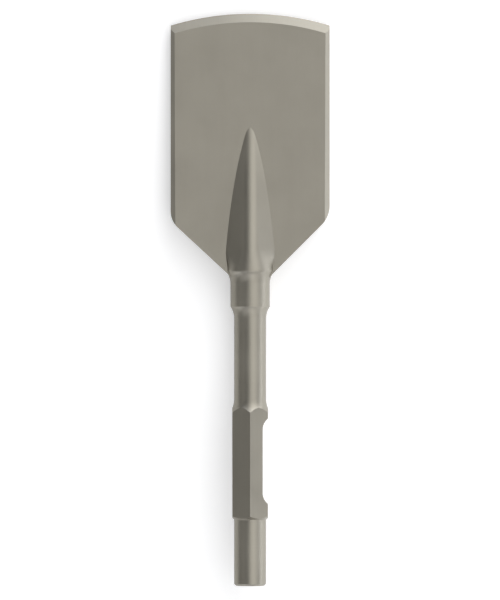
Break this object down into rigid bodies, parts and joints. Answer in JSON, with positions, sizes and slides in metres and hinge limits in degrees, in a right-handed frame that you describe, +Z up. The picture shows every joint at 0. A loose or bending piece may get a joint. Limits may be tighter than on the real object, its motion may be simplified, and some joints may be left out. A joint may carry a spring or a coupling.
{
  "type": "asphalt chisel",
  "caption": "Wide flat chisel for a demolition hammer: arced cutting edge, spear-shaped rib, round collar and neck, notched hexagon shank with a round tail.",
  "frame": {"origin": "centre of the underside of the chisel's box, on the surface that it lies on", "axes": "+Y from the striking end towards the cutting edge, +X towards the retaining notch, +Z up; the tool's own axis lies in the YZ plane and dips 3.78 degrees towards the cutting edge"},
  "size_m": [0.125, 0.4498, 0.0477],
  "materials": {
    "forged_steel": "smooth matte olive-grey steel, finely blasted after forging"
  },
  "bodies": {
    "root": {"asphalt_chisel": "forged_steel"}
  },
  "joints": []
}
